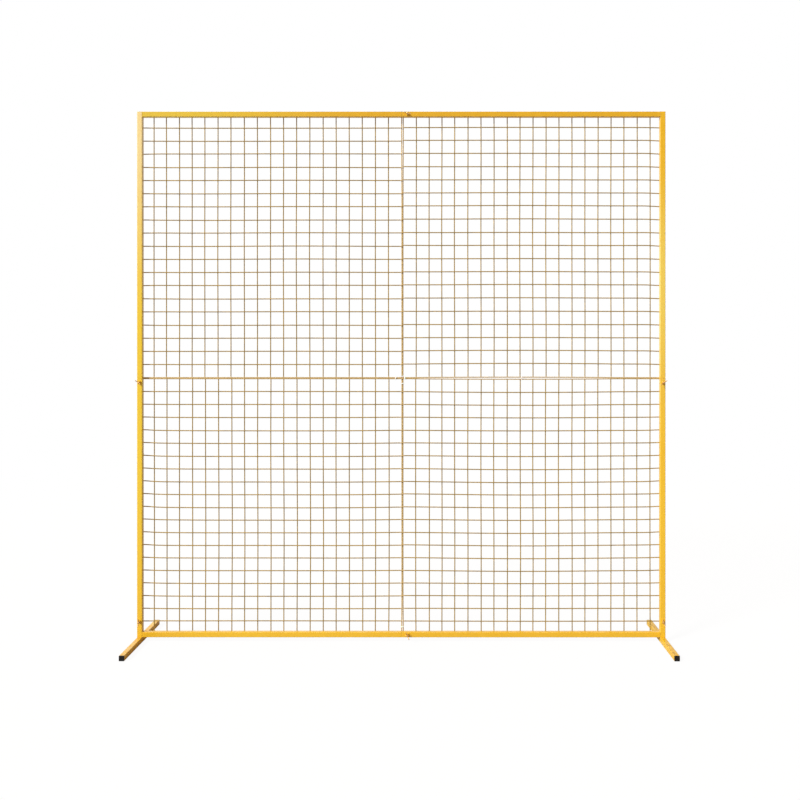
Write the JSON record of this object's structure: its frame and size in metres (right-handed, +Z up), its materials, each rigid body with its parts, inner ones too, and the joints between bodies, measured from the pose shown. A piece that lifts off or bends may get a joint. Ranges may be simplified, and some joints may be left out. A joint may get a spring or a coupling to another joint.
{
  "type": "free-standing wire mesh screen frame",
  "caption": "Free-standing square-tube screen frame with welded wire-grid infill, sleeved tube joints locked by wing screws, and pull-off cross feet.",
  "frame": {"origin": "on the floor, in the middle of the footprint", "axes": "+X along the screen to the right as seen from the front, +Y from the front to the back, +Z up"},
  "size_m": [2.0344, 0.406, 2.04],
  "materials": {
    "yellow_paint": "golden-yellow powder coat, semi-gloss",
    "wire_finish": "thin golden-bronze lacquer over steel wire",
    "screw_metal": "yellow zinc plating, satin",
    "white_nylon": "natural nylon",
    "black_plastic": "moulded polyethylene, fine grain"
  },
  "bodies": {
    "frame": {"bottom_left_rail": "yellow_paint", "bottom_left_rail_hooks": "yellow_paint", "bottom_mid_nut": "yellow_paint", "bottom_rail_sleeve": "yellow_paint", "bottom_right_rail": "yellow_paint", "bottom_right_rail_hooks": "yellow_paint", "left_foot_nut": "yellow_paint", "left_lower_post": "yellow_paint", "left_lower_post_hooks": "yellow_paint", "left_mid_nut": "yellow_paint", "left_post_cap": "yellow_paint", "left_post_sleeve": "yellow_paint", "left_upper_post": "yellow_paint", "left_upper_post_hooks": "yellow_paint", "lower_left_mesh": "wire_finish", "lower_right_mesh": "wire_finish", "right_foot_nut": "yellow_paint", "right_lower_post": "yellow_paint", "right_lower_post_hooks": "yellow_paint", "right_mid_nut": "yellow_paint", "right_post_cap": "yellow_paint", "right_post_sleeve": "yellow_paint", "right_upper_post": "yellow_paint", "right_upper_post_hooks": "yellow_paint", "seam_tie_above_centre": "white_nylon", "seam_tie_below_centre": "white_nylon", "seam_tie_left_of_centre": "white_nylon", "seam_tie_mid_right": "white_nylon", "seam_tie_near_bottom": "white_nylon", "seam_tie_right_of_centre": "white_nylon", "top_left_rail": "yellow_paint", "top_left_rail_hooks": "yellow_paint", "top_mid_nut": "yellow_paint", "top_rail_sleeve": "yellow_paint", "top_right_rail": "yellow_paint", "top_right_rail_hooks": "yellow_paint", "upper_left_mesh": "wire_finish", "upper_right_mesh": "wire_finish"},
    "left_foot": {"left_foot_tube": "yellow_paint", "left_foot_spigot": "yellow_paint", "left_foot_front_plug": "black_plastic", "left_foot_rear_plug": "black_plastic"},
    "right_foot": {"right_foot_tube": "yellow_paint", "right_foot_spigot": "yellow_paint", "right_foot_front_plug": "black_plastic", "right_foot_rear_plug": "black_plastic"},
    "left_mid_screw_stud": {"left_mid_stud": "screw_metal"},
    "left_mid_screw_wings": {"left_mid_wings": "screw_metal"},
    "right_mid_screw_stud": {"right_mid_stud": "screw_metal"},
    "right_mid_screw_wings": {"right_mid_wings": "screw_metal"},
    "top_mid_screw_stud": {"top_mid_stud": "screw_metal"},
    "top_mid_screw_wings": {"top_mid_wings": "screw_metal"},
    "bottom_mid_screw_stud": {"bottom_mid_stud": "screw_metal"},
    "bottom_mid_screw_wings": {"bottom_mid_wings": "screw_metal"},
    "left_foot_screw_stud": {"left_foot_stud": "screw_metal"},
    "left_foot_screw_wings": {"left_foot_wings": "screw_metal"},
    "right_foot_screw_stud": {"right_foot_stud": "screw_metal"},
    "right_foot_screw_wings": {"right_foot_wings": "screw_metal"}
  },
  "joints": [
    {"name": "left_foot_pull_off", "type": "slide", "parent": "frame", "child": "left_foot", "axis": [0, 0, -1], "range_m": [0, 0.1]},
    {"name": "right_foot_pull_off", "type": "slide", "parent": "frame", "child": "right_foot", "axis": [0, 0, -1], "range_m": [0, 0.1]},
    {"name": "left_mid_screw_travel", "type": "slide", "parent": "frame", "child": "left_mid_screw_stud", "axis": [0, -1, 0], "range_m": [0, 0.0041]},
    {"name": "left_mid_screw_turn", "type": "hinge", "parent": "left_mid_screw_stud", "child": "left_mid_screw_wings", "pos_m": [-1.005, -0.02, 0.999], "axis": [0, -1, 0], "range_deg": [0, 1350]},
    {"name": "right_mid_screw_travel", "type": "slide", "parent": "frame", "child": "right_mid_screw_stud", "axis": [0, -1, 0], "range_m": [0, 0.0041]},
    {"name": "right_mid_screw_turn", "type": "hinge", "parent": "right_mid_screw_stud", "child": "right_mid_screw_wings", "pos_m": [1.005, -0.02, 0.999], "axis": [0, -1, 0], "range_deg": [0, 1350]},
    {"name": "top_mid_screw_travel", "type": "slide", "parent": "frame", "child": "top_mid_screw_stud", "axis": [0, -1, 0], "range_m": [0, 0.0041]},
    {"name": "top_mid_screw_turn", "type": "hinge", "parent": "top_mid_screw_stud", "child": "top_mid_screw_wings", "pos_m": [0.025, -0.02, 2.03], "axis": [0, -1, 0], "range_deg": [0, 1350]},
    {"name": "bottom_mid_screw_travel", "type": "slide", "parent": "frame", "child": "bottom_mid_screw_stud", "axis": [0, -1, 0], "range_m": [0, 0.0041]},
    {"name": "bottom_mid_screw_turn", "type": "hinge", "parent": "bottom_mid_screw_stud", "child": "bottom_mid_screw_wings", "pos_m": [0.025, -0.02, 0.0303], "axis": [0, -1, 0], "range_deg": [0, 1350]},
    {"name": "left_foot_screw_travel", "type": "slide", "parent": "frame", "child": "left_foot_screw_stud", "axis": [0, -1, 0], "range_m": [0, 0.0041]},
    {"name": "left_foot_screw_turn", "type": "hinge", "parent": "left_foot_screw_stud", "child": "left_foot_screw_wings", "pos_m": [-1.005, -0.02, 0.081], "axis": [0, -1, 0], "range_deg": [0, 1350]},
    {"name": "right_foot_screw_travel", "type": "slide", "parent": "frame", "child": "right_foot_screw_stud", "axis": [0, -1, 0], "range_m": [0, 0.0041]},
    {"name": "right_foot_screw_turn", "type": "hinge", "parent": "right_foot_screw_stud", "child": "right_foot_screw_wings", "pos_m": [1.005, -0.02, 0.081], "axis": [0, -1, 0], "range_deg": [0, 1350]}
  ],
  "couplings": [
    {"joint": "left_mid_screw_travel", "follows": "left_mid_screw_turn", "m_per_rad": 0.00015915},
    {"joint": "right_mid_screw_travel", "follows": "right_mid_screw_turn", "m_per_rad": 0.00015915},
    {"joint": "top_mid_screw_travel", "follows": "top_mid_screw_turn", "m_per_rad": 0.00015915},
    {"joint": "bottom_mid_screw_travel", "follows": "bottom_mid_screw_turn", "m_per_rad": 0.00015915},
    {"joint": "left_foot_screw_travel", "follows": "left_foot_screw_turn", "m_per_rad": 0.00015915},
    {"joint": "right_foot_screw_travel", "follows": "right_foot_screw_turn", "m_per_rad": 0.00015915}
  ]
}
